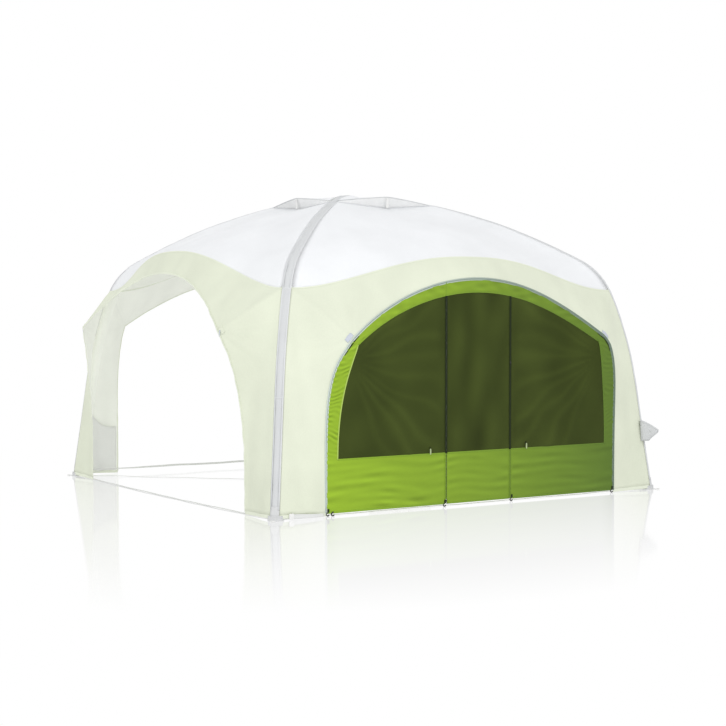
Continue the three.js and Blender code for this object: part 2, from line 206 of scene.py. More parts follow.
class Nodes:
    """Short hand for adding and wiring a material's nodes."""

    def __init__(self, m):
        self.tree = m.node_tree
        self.shader = m.node_tree.nodes["Principled BSDF"]

    def add(self, kind, **settings):
        node = self.tree.nodes.new("ShaderNode" + kind)
        for key, value in settings.items():
            setattr(node, key, value)
        return node

    def link(self, source, target):
        self.tree.links.new(source, target)

    def wire(self, source, name):
        """Links an output to the shader's input of that name."""
        self.link(source, self.shader.inputs[name])

    def split(self, vector):
        node = self.add("SeparateXYZ")
        self.link(vector, node.inputs[0])
        return node.outputs

    def math(self, operation, a, b=None):
        node = self.add("Math", operation=operation)
        for i, value in enumerate((a, b)):
            if isinstance(value, (int, float)):
                node.inputs[i].default_value = value
            elif value is not None:
                self.link(value, node.inputs[i])
        return node.outputs[0]

    def times(self, a, b):
        return self.math("MULTIPLY", a, b)

    def plus(self, a, b):
        return self.math("ADD", a, b)

    def minus(self, a, b):
        return self.math("SUBTRACT", a, b)

    def clamped(self, value):
        """The value, kept between 0 and 1."""
        return self.math("MINIMUM", self.math("MAXIMUM", value, 0.0), 1.0)

    def stripes(self, coordinate, pitch, share=0.09):
        return self.math("LESS_THAN", self.math("FRACT", self.times(coordinate, 1 / pitch)), share)

    def ramp(self, source, low, high, at=(0.0, 1.0)):
        node = self.add("ValToRGB")
        for element, color, where in zip(node.color_ramp.elements, (low, high), at):
            element.color = (*color, 1)
            element.position = where
        self.link(source, node.inputs[0])
        return node.outputs[0]

    def noise(self, source, scale, detail=3.0, rough=0.55):
        node = self.add("TexNoise")
        node.inputs["Scale"].default_value = scale
        node.inputs["Detail"].default_value = detail
        node.inputs["Roughness"].default_value = rough
        self.link(source, node.inputs["Vector"])
        return node.outputs[0]

    def mixed(self, mask, a, color):
        node = self.add("Mix", data_type="RGBA")
        self.link(mask, node.inputs["Factor"])
        self.link(a, node.inputs["A"])
        node.inputs["B"].default_value = (*color, 1)
        return node.outputs["Result"]

    def fold_shaded(self, color):
        """Colour darkened and lightened by the piece's own folds: painted shade and highlight."""
        node = self.add("VectorMath", operation="SCALE")
        self.link(color, node.inputs[0])
        folds = self.add("Attribute", attribute_name="folds").outputs["Fac"]
        self.link(self.plus(folds, 1.0), node.inputs["Scale"])
        return node.outputs[0]

    def bump(self, height, distance, strength=1.0, before=None):
        node = self.add("Bump")
        node.inputs["Distance"].default_value = distance
        node.inputs["Strength"].default_value = strength
        self.link(height, node.inputs["Height"])
        if before is not None:
            self.link(before, node.inputs["Normal"])
        return node.outputs[0]


def shade(color, k):
    return tuple(min(max(c * k, 0), 1) for c in color)


def fabric(name, color, roughness=0.62, thread=0.0014, ripstop=0.0, creased=1.0, stitch=0.0, painted_falloff=None,
           specular=0.5, glow=0.0):
    """Woven cloth: UVs are in metres along and across it. Painted shade darkens it by the falloff colour from
    one end of the front to the other, and glow is painted light, given off as if daylight came through it."""
    m = material(name, color, roughness, specular=specular)
    n = Nodes(m)
    uv, where = n.add("UVMap").outputs[0], n.add("TexCoord").outputs["Object"]
    u, v = n.split(uv)[:2]
    weave = n.times(*(n.math("SINE", n.times(c, 2 * math.pi / thread)) for c in (u, v)))
    slub = n.noise(uv, 90, 2)
    tone = n.plus(n.times(n.noise(where, 2.2, 4), 0.7), n.times(slub, 0.3))
    look = n.ramp(tone, shade(color, 0.93), shade(color, 1.05), (0.3, 0.7))
    if ripstop:
        lines = n.math("MAXIMUM", n.stripes(u, ripstop), n.stripes(v, ripstop))
        weave = n.plus(weave, n.times(lines, 2.0))
        look = n.mixed(lines, look, shade(color, 0.9))
    # Painted shade: the colour is multiplied from white at the left end of the front down to the falloff
    # colour at its right end.
    if painted_falloff:
        tint = n.add("Mix", data_type="RGBA", blend_type="MULTIPLY")
        tint.inputs["Factor"].default_value = 1.0
        n.link(look, tint.inputs["A"])
        n.link(n.ramp(n.plus(n.times(n.split(where)[0], 0.36), 0.5), (1, 1, 1), painted_falloff), tint.inputs["B"])
        look = tint.outputs["Result"]
    if stitch:
        row = n.math("LESS_THAN", n.math("ABSOLUTE", n.minus(n.math("ABSOLUTE", v), stitch)), 0.0007)
        weave = n.minus(weave, n.times(row, 3.0))
        look = n.mixed(n.times(row, n.stripes(u, 0.004, 0.62)), look, shade(color, 0.84))
    look = n.fold_shaded(look)
    n.wire(look, "Base Color")
    # Painted light: with glow the cloth gives off its own colour as light.
    if glow:
        n.wire(look, "Emission Color")
        n.shader.inputs["Emission Strength"].default_value = glow
    normal = n.bump(n.noise(where, 14, 5, 0.6), 0.004 * creased, 0.5)
    normal = n.bump(n.noise(where, 70, 3, 0.5), 0.0008 * creased, 0.5, normal)
    n.wire(n.bump(weave, 0.00012, 0.5, normal), "Normal")
    n.wire(n.plus(n.times(slub, 0.14), roughness - 0.07), "Roughness")
    return m


def netting(name, color, alpha, glow=0.0, cell=0.0016):
    """Insect mesh: fine square cells, too small to see through from far off."""
    m = material(name, color, 0.8, specular=0.1)
    n = Nodes(m)
    u, v = n.split(n.add("UVMap").outputs[0])[:2]
    where = n.add("TexCoord").outputs["Object"]
    lines = n.math("MAXIMUM", n.stripes(u, cell, 0.5), n.stripes(v, cell, 0.5))
    base = n.ramp(n.noise(where, 1.6, 5), shade(color, 0.86), shade(color, 1.14), (0.3, 0.7))
    look = n.fold_shaded(n.mixed(n.minus(1.0, lines), base, shade(color, 0.72)))
    n.wire(look, "Base Color")
    # Painted light: with glow the mesh gives off its own colour as light.
    n.wire(look, "Emission Color")
    n.shader.inputs["Emission Strength"].default_value = glow
    n.wire(n.bump(lines, 0.0002, 0.5, n.bump(n.noise(where, 9, 4), 0.006, 0.5)), "Normal")
    n.shader.inputs["Alpha"].default_value = alpha
    return m


def moulded(name, color, roughness=0.42, metallic=0.0, specular=0.5):
    """Moulded plastic or plated metal with a fine grain."""
    m = material(name, color, roughness, metallic, specular)
    n = Nodes(m)
    where = n.add("TexCoord").outputs["Object"]
    n.wire(n.ramp(n.noise(where, 60), shade(color, 0.85), shade(color, 1.2)), "Base Color")
    n.wire(n.bump(n.noise(where, 1800, 2), 0.0001, 0.4), "Normal")
    n.wire(n.plus(n.times(n.noise(where, 220), 0.2), roughness - 0.1), "Roughness")
    return m


# Painted shade: the colour the lime cloths darken to at the right end of the front, as the light falls off.
LIME_PAINTED_FALLOFF = (0.37, 0.40, 0.95)
M = {
    "roof": fabric("roof_cloth", (0.86, 0.875, 0.895), 0.55, ripstop=0.006, creased=0.5),
    "wall": fabric("wall_cloth", (0.725, 0.765, 0.62), 0.6, creased=0.7),
    # Painted light: the lining and the pockets glow, brightening them in the shelter's shade as if daylight
    # came through the cloth.
    "inner": fabric("inner_cloth", (0.75, 0.765, 0.71), 0.65, creased=0.8, glow=0.20),
    "pocket": fabric("pocket_cloth", (0.68, 0.69, 0.665), 0.65, creased=0.8, glow=0.15),
    "sleeve": fabric("sleeve_cloth", (0.645, 0.66, 0.67), 0.6, ripstop=0.005, creased=0.6),
    # Painted light: the sleeve tapes glow, lifting the shade in the creases beside the sleeves.
    "sleeve_tape": fabric("sleeve_tape", (0.64, 0.655, 0.665), 0.7, creased=0.3, glow=0.05),
    "boot": fabric("boot_cloth", (0.66, 0.67, 0.675), 0.7, ripstop=0.004, creased=0.4),
    "lime": fabric("lime_cloth", (0.290, 0.455, 0.029), 0.5, creased=0.9, painted_falloff=LIME_PAINTED_FALLOFF, specular=0.12),
    "lime_tape": fabric("lime_tape", (0.262, 0.42, 0.034), 0.6, stitch=0.0035, creased=0.3, painted_falloff=LIME_PAINTED_FALLOFF,
                        specular=0.12),
    # Painted highlight: a lighter lime for the left netting binding, where the light falls on it; its falloff
    # is painted shade as above.
    "lime_edge": fabric("lime_edge", (0.42, 0.57, 0.12), 0.6, creased=0.3, painted_falloff=(0.4, 0.43, 0.9),
                        specular=0.12),
    # Painted light: the seam tapes glow a little.
    "seam": fabric("seam_tape", (0.75, 0.79, 0.655), 0.65, stitch=0.0035, creased=0.3, glow=0.06),
    "webbing": fabric("webbing", (0.74, 0.75, 0.74), 0.75, thread=0.0024, stitch=0.009, creased=0.2),
    "pad": fabric("pad_webbing", (0.55, 0.59, 0.66), 0.75, thread=0.0024, creased=0.3),
    # Painted shade: the zip tape darkens towards the right end of the front too.
    "zip_tape": fabric("zip_tape", (0.62, 0.69, 0.64), 0.7, stitch=0.011, creased=0.3, painted_falloff=(0.21, 0.27, 0.2),
                       specular=0.2),
    "dark_tape": fabric("dark_tape", (0.022, 0.032, 0.012), 0.7, stitch=0.009, creased=0.3, specular=0.1),
    "mesh": netting("mesh_cloth", (0.048, 0.065, 0.0125), 0.99),
    # Painted light: the vent mesh glows, brightening it in the shade of its hood.
    "vent": netting("vent_mesh", (0.775, 0.78, 0.78), 0.97, 0.21),
    "teeth": moulded("zip_teeth", (0.24, 0.31, 0.28), 0.35),
    "dark_teeth": moulded("dark_zip_teeth", (0.02, 0.026, 0.016), 0.4, specular=0.2),
    "plastic": moulded("black_plastic", (0.02, 0.021, 0.023)),
    "pale": moulded("pale_plastic", (0.42, 0.50, 0.27)),
    "white": moulded("white_plastic", (0.8, 0.8, 0.79)),
    "steel": moulded("plated_steel", (0.55, 0.56, 0.58), 0.3, 1.0),
}
# The material slot of each look.
SLOTS = {look: slot for slot, looks in {
    "roof": "roof",
    "wall": "wall inner pocket seam",
    "sleeve": "sleeve sleeve_tape boot",
    "mesh": "mesh vent",
    "lime": "lime lime_tape lime_edge",
    "webbing": "webbing pad",
    "zip": "zip_tape dark_tape teeth dark_teeth",
    "plastic": "plastic pale white steel",
}.items() for look in looks.split()}


# ---------------------------------------------------------------- the shelter's surfaces
def mix(a, b, k):
    return a + (b - a) * k


def turns(count):
    """Angles of a full turn in equal steps."""
    return 2 * math.pi * np.arange(count) / count


def joined(*values):
    """Points from arrays of their coordinates."""
    return np.stack(np.broadcast_arrays(*values), -1)


def smooth(x):
    x = np.clip(x, 0, 1)
    return x * x * (3 - 2 * x)


def profile(t):
    """(distance from the middle, height) of an arch's centreline, for t from 0 at the top to LAST."""
    t = np.asarray(t, float)
    i = np.minimum(np.floor(t).astype(int), LAST - 1)
    f = (t - i)[..., None]
    points = np.vstack([PROFILE[1] * (-1, 1), PROFILE, 2 * PROFILE[-1] - PROFILE[-2]])
    a, b, c, d = (points[i + k] for k in range(4))
    return b + 0.5 * f * (c - a + f * (2 * a - 5 * b + 4 * c - d + f * (3 * (b - c) + d - a)))


def outward(t):
    """Direction out of the arch at t, as (away from the middle, up)."""
    t = np.asarray(t, float)
    along = profile(np.minimum(t + 0.01, LAST)) - profile(np.maximum(t - 0.01, 0))
    along /= np.linalg.norm(along, axis=-1)[..., None]
    return joined(-along[..., 1], along[..., 0])


def arch_edge(t, rise=0.0):
    """Where cloth meets the arch at the s > 0 end of a side: arrays s, d, z."""
    r, z = np.moveaxis(profile(t) + OUT * outward(t), -1, 0)
    return (r - ACROSS) / math.sqrt(2), (r + ACROSS) / math.sqrt(2), z + rise


def lift(r, arch):
    """How far an arch is raised at r from the middle, so that the two can cross."""
    return LIFT[arch] * np.exp(-((r / REACH) ** 2))


def heading(azimuth):
    """Level directions along an azimuth and to the left of it."""
    c, s = math.cos(azimuth), math.sin(azimuth)
    return np.array([c, s, 0]), np.array([-s, c, 0])


def leg_heading(quarter):
    """The same for the leg at the start of a side."""
    return heading(-3 * math.pi / 4 + quarter * math.pi / 2)


def bulge(side, s, z):
    """How far the cloth beside an archway stands out from the wall's plane."""
    out, full, rise, across = side["flare"]
    share = np.clip((np.abs(s) - FLAT_HALF) / (side["spring"] - FLAT_HALF), 0, 1) ** across
    return out * share * np.clip(z / full, 0, 1) ** rise


def opening_leg(side, z):
    """How far from a side's middle the edge of its opening is, up to the height where the arch springs."""
    return mix(side["foot"], side["spring"], (z / side["spring_z"]) ** side["taper"])


def opening_arch(side, s):
    """Height of the opening's arch."""
    return mix(side["top"], side["spring_z"], (s / side["spring"]) ** 2)


def opening(side, k):
    """Edge of the arched opening, k from 0 at the ground to 1 at the top, on the s > 0 half."""
    k = np.asarray(k, float)
    z_leg = mix(HEM, side["spring_z"], k / 0.5)
    s_arch = side["spring"] * (1 - (k - 0.5) / 0.5)
    leg = k < 0.5
    return np.where(leg, opening_leg(side, z_leg), s_arch), np.where(leg, z_leg, opening_arch(side, s_arch))


def opening_offset(side, k, off):
    """The same edge moved away from the opening by off."""
    k = np.asarray(k, float)
    a, b = opening(side, np.maximum(k - 0.02, 0)), opening(side, np.minimum(k + 0.02, 1))
    ds, dz = b[0] - a[0], b[1] - a[1]
    length = np.hypot(ds, dz)
    s, z = opening(side, k)
    return np.where(k < 1, s + off * dz / length, s), np.where(k > 0, z - off * ds / length, z)


def swell(u):
    return (1 + np.cos(math.pi * np.abs(u) ** 1.2)) / 2


def peak(u):
    return 1 - np.abs(u) ** 1.2


def seam(side, u):
    """Seam between roof and wall: u from 0 at the middle of a side to 1 at the arch."""
    s, d, z = arch_edge(SEAM_T)
    return u * s, mix(d, side["seam"][0], swell(u)), mix(z, side["seam"][1], swell(u))


def roof_line(side, d):
    out, z = side["seam"]
    top = PROFILE[0][1]
    return top - d * (0.12 + (top - z - 0.12 * out) / (out - 0.5) * ((d - 0.5) / out))


def place(s, d, z, quarter=0):
    """World points from a side's own terms."""
    x, y = np.asarray(s, float), -np.asarray(d, float)
    for _ in range(quarter % 4):
        x, y = -y, x
    return joined(x, y, z)


def outwards(quarter, out=1.0, up=0.0):
    """Direction out of a side."""
    return place(0.0, out, up, quarter)


def ripple(p, scale, seed, waves=9):
    """Smooth noise between about -1 and 1 over points p, with features scale across."""
    rng = np.random.default_rng(seed)
    total = np.zeros(p.shape[:-1])
    for _ in range(waves):
        direction = rng.normal(size=p.shape[-1])
        direction *= 2 * math.pi / scale * rng.uniform(0.6, 1.4) / np.linalg.norm(direction)
        total += np.sin(p @ direction + rng.uniform(0, 2 * math.pi))
    return total / math.sqrt(waves)


def crease(side, s, z, seed=3):
    """Short pulled folds that fan out from the corner of an arched opening."""
    ds, dz = np.abs(s) - side["spring"], z - side["spring_z"]
    rho, theta = np.hypot(ds, dz), np.arctan2(dz, ds)
    rng = np.random.default_rng(seed)
    total = np.zeros_like(rho)
    for centre in np.radians([-82, -60, -38, -14, 8, 30, 52, 76, 100, 126, 150]):
        size, width, reach = rng.uniform(0.5, 1), rng.uniform(0.07, 0.12), rng.uniform(0.12, 0.34)
        around = theta - centre - rng.uniform(-0.07, 0.07)
        total += size * np.exp(-((around / width) ** 2)) * np.exp(-rho / reach)
    return total * smooth(rho / 0.05)


# ---------------------------------------------------------------- mesh building
def finish_mesh(name, verts, faces, slot, uvs=None, thickness=0.0, body=ROOT, merge=False, rounded=True,
                lining=None, folds=None):
    data = bpy.data.meshes.new(name)
    data.from_pydata([tuple(v) for v in verts], [], [tuple(f) for f in faces])
    if uvs is not None:
        layer = data.uv_layers.new(name="UVMap")
        index = np.empty(len(data.loops), np.int32)
        data.loops.foreach_get("vertex_index", index)
        layer.data.foreach_set("uv", np.asarray(uvs, np.float32)[index].ravel())
    data.materials.append(M[slot])
    if folds is not None:
        shading = data.attributes.new("folds", "FLOAT", "POINT").data
        shading.foreach_set("value", np.asarray(folds, np.float32).ravel())
    if merge:
        bm = bmesh.new()
        bm.from_mesh(data)
        bmesh.ops.remove_doubles(bm, verts=bm.verts, dist=0.0004)
        bmesh.ops.recalc_face_normals(bm, faces=bm.faces)
        inside = Vector((0, 0, 0.8))
        facing = sum((f.calc_center_median() - inside).dot(f.normal) * f.calc_area() for f in bm.faces)
        if facing < 0:
            bmesh.ops.reverse_faces(bm, faces=bm.faces)
        bm.to_mesh(data)
        bm.free()
    data.polygons.foreach_set("use_smooth", [rounded] * len(data.polygons))
    obj = bpy.data.objects.new(name, data)
    bpy.context.scene.collection.objects.link(obj)
    if thickness:
        solid = obj.modifiers.new("thickness", "SOLIDIFY")
        solid.thickness = thickness
        solid.offset = 0
        if lining:
            data.materials.append(M[lining])
            solid.material_offset = 1
    if body:
        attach(obj, body)
    return obj


def grid_faces(m, n, wrap=False, start=0):
    i, j = np.meshgrid(np.arange(m - 1), np.arange(n if wrap else n - 1), indexing="ij")
    a = i * n + j
    b = i * n + (j + 1) % n
    return (joined(a, b, b + n, a + n).reshape(-1, 4) + start).tolist()


def tube_faces(m, n):
    """Faces of m rings of n points, with both ends capped."""
    return grid_faces(m, n, wrap=True) + [tuple(range(n))[::-1], tuple((m - 1) * n + k for k in range(n))]


def lengths(path):
    """Distance along a path to each of its points."""
    return np.concatenate([[0], np.linalg.norm(np.diff(path, axis=0), axis=1).cumsum()])


def points_at(path, at):
    """Points at some distances along a path."""
    return joined(*(np.interp(at, lengths(path), values) for values in path.T))


def grid_uv(grid):
    """Lengths along and across a grid of points, in metres."""
    along = np.linalg.norm(np.diff(grid, axis=1), axis=-1).mean(0)
    down = np.linalg.norm(np.diff(grid, axis=0), axis=-1).mean(1)
    u, v = np.concatenate([[0], along.cumsum()]), np.concatenate([[0], down.cumsum()])
    return joined(u[None, :], v[:, None]).reshape(-1, 2)


def grids_mesh(name, grids, slot, folds=None, **options):
    """One mesh from several grids of points, merged where they meet."""
    if folds:
        options["folds"] = np.concatenate([np.ravel(f) for f in folds])
    verts, faces, uvs = [], [], []
    for grid in grids:
        faces += grid_faces(grid.shape[0], grid.shape[1], start=len(verts))
        verts += grid.reshape(-1, 3).tolist()
        uvs += grid_uv(grid).tolist()
    return finish_mesh(name, verts, faces, slot, uvs, merge=True, **options)


def frames(path, up=None):
    """Tangent, across and up directions along a path; up is a hint, or it is carried along."""
    tangent = np.gradient(path, axis=0)
    tangent /= np.linalg.norm(tangent, axis=1)[:, None]
    if up is None:
        first = np.cross(tangent[0], (0.31, 0.17, 0.93))
        ups = [first / np.linalg.norm(first)]
        for t in tangent[1:]:
            u = ups[-1] - t * (ups[-1] @ t)
            ups.append(u / np.linalg.norm(u))
        up = np.array(ups)
    up = np.broadcast_to(up, path.shape)
    across = np.cross(tangent, up)
    across /= np.linalg.norm(across, axis=1)[:, None]
    return tangent, across, np.cross(across, tangent)


def sweep(name, path, section, slot, up=None, scale=None, body=ROOT):
    """Closed tube of any section (across, up) along a path; the ends are capped."""
    path = np.asarray(path, float)
    _, across, above = frames(path, up)
    scale = np.ones(len(path)) if scale is None else np.asarray(scale)
    ring = section[:, :1] * across[:, None] + section[:, 1:] * above[:, None]
    uvs = joined(lengths(path)[:, None], section[None, :, 0]).reshape(-1, 2)
    points = path[:, None] + scale[:, None, None] * ring
    return finish_mesh(name, points.reshape(-1, 3), tube_faces(*points.shape[:2]), slot, uvs, body=body)


def oval(width, height, count=10, power=1.0):
    angle = turns(count)
    c, s = (np.sign(v) * np.abs(v) ** power for v in (np.cos(angle), np.sin(angle)))
    return joined(width / 2 * c, height / 2 * s)


def tube(name, path, radius, slot, count=8, **options):
    return sweep(name, path, oval(2 * radius, 2 * radius, count), slot, **options)


def tape(name, path, up, width, thickness, slot, **options):
    return sweep(name, path, oval(width, thickness, 12, 0.55), slot, up=up, **options)


def patch(name, outline, step, relief, shade_gain, slot, thickness=CLOTH, body=ROOT):
    """Cloth cut to a flat outline (s, z), meshed evenly, bent by relief(s, z) and given painted shade and
    highlight in step with it.
    """
    outline = np.asarray(outline, float)
    edge = []
    for a, b in zip(outline, np.roll(outline, -1, 0)):
        count = max(1, round(float(np.hypot(*(b - a))) / step))
        edge += [mix(a, b, k / count) for k in range(count)]
    edge = np.array(edge)
    low, high = edge.min(0), edge.max(0)
    rows = np.arange(low[1] + step / 2, high[1], step * 0.87)
    inner = np.array([(s + (i % 2) * step / 2, z) for i, z in enumerate(rows)
                      for s in np.arange(low[0] + step / 2, high[0], step)])
    inner = inner[inside(inner, edge)]
    near = np.array([np.min(np.hypot(*(edge - p).T)) for p in inner])
    points = np.vstack([edge, inner[near > step * 0.45]])
    loop = [(i, (i + 1) % len(edge)) for i in range(len(edge))]
    found = delaunay_2d_cdt([Vector(p) for p in points], loop, [], 1, 1e-6)
    flat = np.array([tuple(v) for v in found[0]])
    out = relief(flat[:, 0], flat[:, 1])
    verts = place(flat[:, 0], HALF + bulge(FRONT, flat[:, 0], flat[:, 1]) + out, flat[:, 1])
    return finish_mesh(name, verts, found[2], slot, flat, thickness, body, folds=shade_gain * out)


def inside(points, polygon):
    hit = np.zeros(len(points), bool)
    for a, b in zip(polygon, np.roll(polygon, -1, 0)):
        crosses = (a[1] > points[:, 1]) != (b[1] > points[:, 1])
        with np.errstate(divide="ignore", invalid="ignore"):
            at = (b[0] - a[0]) * (points[:, 1] - a[1]) / (b[1] - a[1]) + a[0]
        hit ^= crosses & (points[:, 0] < at)
    return hit


def size_of(grid):
    """Mean lengths along and down a grid of points, to the millimetre."""
    return [round(float(v), 3) for v in grid_uv(grid)[-1]]


def cloth(obj, width, length, held, rests, *nodes):
    """Hides the CAD nodes that a sheet stands in for. Its width and length, of a blank, are not used."""
    if nodes:
        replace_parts(obj, *nodes)
    return obj


# ---------------------------------------------------------------- canopy
def side_of(quarter):
    return FRONT if quarter == 0 else OPEN


def roof_grid(quarter, rows=ROOF_ROWS, columns=49):
    side = side_of(quarter)
    t = np.linspace(VENT_T, SEAM_T, rows)[:, None]
    s, d, z = arch_edge(t)
    inner, outer = arch_edge(VENT_T)[1], arch_edge(SEAM_T)[1]
    middle = d + ((d - inner) / (outer - inner)) ** 2 * (side["seam"][0] - outer)
    u = np.linspace(-1, 1, columns)[None]
    rise = mix(peak(u), swell(u), (t - VENT_T) / (SEAM_T - VENT_T))
    out, up = mix(d, middle, rise), mix(z, roof_line(side, middle), rise)
    p = place(u * s, out, up, quarter)
    calm = (1 - u**4) * smooth((t - VENT_T) / 0.6) * smooth((SEAM_T - t) / 0.5)
    p[..., 2] += calm * 0.003 * ripple(joined(u * s * 2.2, out), 0.9, 5 + quarter)
    return p


def beside(quarter, t, across, out):
    """World points at an offset from an arch's centreline, on the leg at the start of a side."""
    way, side = leg_heading(quarter)
    c = profile(t)
    rz = c[:, None] + out[..., None] * outward(t)[:, None]
    z = rz[..., 1:] + lift(c[:, :1], "ab"[quarter % 2])[..., None]
    return rz[..., :1] * way + across[..., None] * side + z * UP


def channel_grid(quarter, t):
    """Cloth that wraps under an arch, from one side's cloth to the next one's."""
    start = math.atan2(OUT, ACROSS)
    angle = np.linspace(start, -math.pi - start, 17)[None]
    radius = math.hypot(ACROSS, OUT)
    grid = beside(quarter, t, radius * np.cos(angle), radius * np.sin(angle))
    grid[..., 2] -= lift(profile(t)[:, :1], "ab"[quarter % 2]) * (np.sin(angle) > 0)
    return grid


def wall_half(side, hand, ks, ws):
    """Grid of one half of a side's wall piece, from the edge of the opening to the arch and the seam."""
    k, w = np.asarray(ks, float)[None, :], np.asarray(ws, float)[:, None]
    s0, z0 = opening(side, k)
    d0 = HALF + bulge(side, s0, z0)
    es, ed, ez = arch_edge(mix(LEG_T, SEAM_T, np.minimum(k, 0.5) / 0.5))
    ss, sd, sz = seam(side, 2 - 2 * np.maximum(k, 0.5))
    leg = k < 0.5
    s1, d1, z1 = np.where(leg, es, ss), np.where(leg, ed, sd), np.where(leg, np.maximum(ez, HEM), sz)
    s, d, z = mix(s0, s1, w), mix(d0, d1, w), mix(z0, z1, w)
    d = d + wall_folds(side, hand, s, z, w)
    if side is OPEN:
        d = d + 0.003 * ripple(joined(s, z), 0.16, 21) * np.exp(-w / 0.05) * smooth(k / 0.03)
    return s * hand, d, z


def wall_folds(side, hand, s, z, w):
    """Folds of a wall, as a distance out, from 0 on its edges."""
    hang = joined(s * 2.4, z * 0.6)
    fold = 0.009 * crease(side, s, z) + 0.0035 * smooth(s / 0.25) * ripple(hang, 0.5, 11 if hand > 0 else 12)
    return smooth(w / 0.12) * smooth((1 - w) / 0.2) * fold


WALL_K = np.concatenate([np.linspace(0, 0.36, 34), np.linspace(0.36, 0.5, 30)[1:],
                         np.linspace(0.5, 0.64, 30)[1:], np.linspace(0.64, 1, 30)[1:]])
WALL_W = np.concatenate([np.linspace(0, 0.5, 26), np.linspace(0.5, 1, 16)[1:]])


def add_canopy():
    t_roof = np.linspace(VENT_T, SEAM_T, ROOF_ROWS)
    roof = [roof_grid(q) for q in range(4)] + [channel_grid(q, t_roof) for q in range(4)]
    top = grids_mesh("canopy_roof", roof, "roof", thickness=CLOTH, lining="inner")
    cloth(top, 5.2, 5.2, "stretched", SLEEVES, *(f"roof_{s}" for s in SIDES))

    t_leg = mix(LEG_T, SEAM_T, WALL_K[WALL_K <= 0.5] / 0.5)
    walls, folds = [], []
    for q in range(4):
        side = side_of(q)
        for _, hand in HANDS:
            s, d, z = wall_half(side, hand, WALL_K, WALL_W)
            walls.append(place(s, d, z, q))
            # Painted shade and highlight of the walls' folds: darker where the cloth stands out.
            folds.append(-4 * wall_folds(side, hand, np.abs(s), z, WALL_W[:, None]))
        walls.append(channel_grid(q, t_leg))
        folds.append(np.zeros(walls[-1].shape[:2]))
    skirt = grids_mesh("canopy_walls", walls, "wall", folds, thickness=CLOTH, lining="inner")
    cloth(skirt, 2.0, 15.0, "stretched", SLEEVES, *(f"wall_{s}_{hand}" for s in SIDES for hand, _ in HANDS))


def add_seams():
    for q, name in enumerate(SIDES):
        side = side_of(q)
        away = outwards(q, 0.8, 0.6)
        line = place(*seam(side, np.linspace(-1, 1, 61)), q)
        tape(f"roof_seam_{name}", line + away * 0.001, away, 0.011, 0.003, "seam")
        line = place(*wall_half(side, 1, [1.0], np.linspace(0, 1, 14)), q)[:, 0]
        tape(f"middle_seam_{name}", line + away * 0.0006, away, 0.007, 0.0008, "wall")
        tape(f"vent_binding_{name}", roof_grid(q, 2)[0], UP, 0.012, 0.003, "roof")
        if side is OPEN:
            left, right = (place(*wall_half(OPEN, hand, WALL_K, [0.0]), q)[0] for _, hand in HANDS)
            edge = np.vstack([left, right[::-1][1:]])
            tape(f"arch_binding_{name}", edge, outwards(q), 0.014, 0.0035, "seam")


# ---------------------------------------------------------------- arches
def add_arches():
    for arch, azimuth in AZIMUTH.items():
        way, side = heading(azimuth)
        w = np.linspace(-1, 1, 421)
        c = profile(np.abs(w) * LAST)
        path = np.outer(np.sign(w) * c[:, 0], way) + np.outer(c[:, 1] + lift(c[:, 0], arch), UP)
        points = gathered(path, side, np.abs(w)[:, None] * LAST)
        uvs = joined(lengths(path)[:, None], turns(points.shape[1]) * SLEEVE_R).reshape(-1, 2)
        faces = tube_faces(*points.shape[:2])
        sleeve = finish_mesh(f"arch_sleeve_{arch}", points.reshape(-1, 3), faces, "sleeve", uvs)
        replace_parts(sleeve, f"sleeve_{arch}", f"bladder_{arch}")
        for k, part in enumerate((0.105, 0.205, 0.795, 0.895)):
            add_band(f"arch_band_{arch}_{k + 1}", path, part)
    add_flanges()


def gathered(path, side, t, count=28):
    """Rings of an arch's sleeve, pleated where it bends most."""
    _, across, above = frames(path, side)
    angle = turns(count)
    c, s = np.cos(angle), np.sin(angle)
    length = lengths(path)[:, None]
    bend = np.exp(-((t - 5.6) ** 2))
    pleat = bend * np.sin(length * 2 * math.pi / 0.047 + 0.8 * s) * (0.55 + 0.45 * c)
    soft = ripple(joined(length * 0.8, c * 0.05, s * 0.05), 0.09, 31)
    radius = SLEEVE_R - 0.0006 + 0.0011 * pleat + 0.0007 * soft
    ring = c[:, None] * across[:, None] + s[:, None] * above[:, None]
    return path[:, None] + radius[..., None] * ring


def add_flanges():
    """Tapes on the edges of the cloth, sewn to each arch's sleeve."""
    for q, name in enumerate(SIDES):
        roof = roof_grid(q)
        for hand, sign in HANDS:
            edge, near = (0, 1) if sign < 0 else (-1, -2)
            leg = place(*wall_half(side_of(q), sign, WALL_K[WALL_K < 0.5], [1.0, 0.97]), q)[:, ::-1]
            path = np.vstack([roof[:, edge], leg[0]])
            way = np.vstack([roof[:, near], leg[1]]) - path
            path, way = path[::2], way[::2] / np.linalg.norm(way[::2], axis=1)[:, None]
            face = sign * np.cross(np.gradient(path, axis=0), way)
            face /= np.linalg.norm(face, axis=1)[:, None]
            line = path - 0.003 * way + 0.0014 * face
            tape(f"arch_flange_{name}_{hand}", line, face, 0.02, 0.0024, "sleeve_tape")


def add_band(name, path, part):
    """Sewn band around an arch's sleeve, at a part of its length."""
    at = lengths(path)[-1] * part + np.linspace(0, 0.012, 5)
    tube(name, points_at(path, at), SLEEVE_R + 0.0016, "sleeve_tape", 28, scale=[0.985, 1, 1, 1, 0.985])


